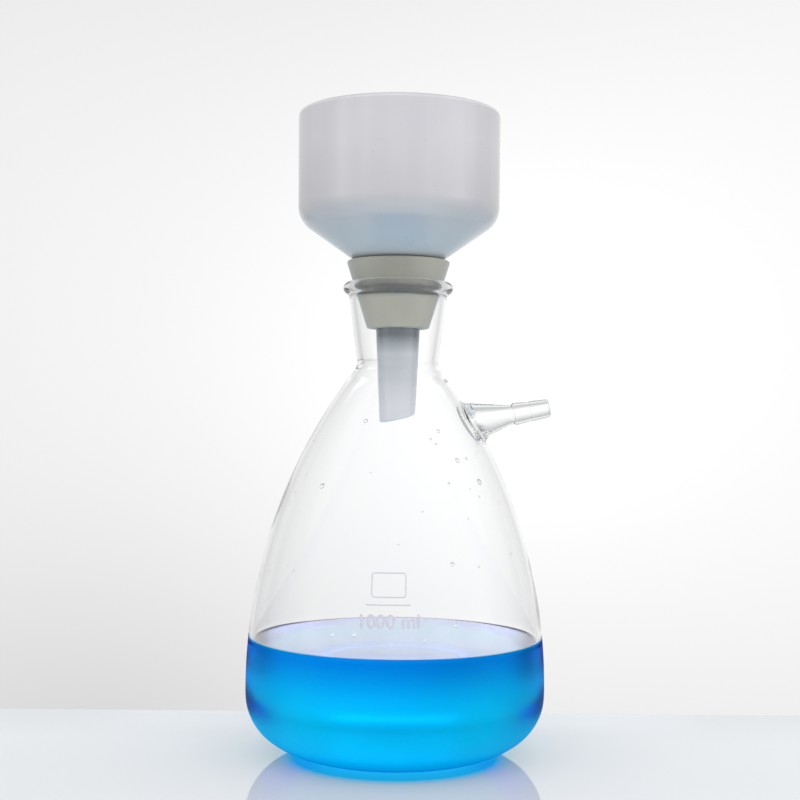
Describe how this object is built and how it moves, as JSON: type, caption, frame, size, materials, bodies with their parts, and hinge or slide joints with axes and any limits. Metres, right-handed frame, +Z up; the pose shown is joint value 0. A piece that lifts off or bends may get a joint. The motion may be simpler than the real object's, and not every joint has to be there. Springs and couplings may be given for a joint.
{
  "type": "vacuum filtration unit",
  "caption": "Conical glass filter flask with a barbed side arm, holding blue filtrate, under a porcelain Buchner funnel seated in a tapered rubber cone",
  "frame": {"origin": "middle of the flask's base, on the surface it stands on", "axes": "+Z up along the flask's axis, +X along the side arm's direction, +Y away from a viewer who sees the arm on the right"},
  "size_m": [0.1322, 0.13, 0.2787],
  "materials": {
    "flask_glass": "gloss",
    "blue_liquid": "gloss",
    "grey_rubber": "matte",
    "white_porcelain": "gloss",
    "white_paper": "matte"
  },
  "bodies": {
    "root": {"flask": "flask_glass", "filtrate": "blue_liquid", "rubber_cone": "grey_rubber", "buchner_funnel": "white_porcelain", "filter_paper": "white_paper"}
  },
  "joints": []
}
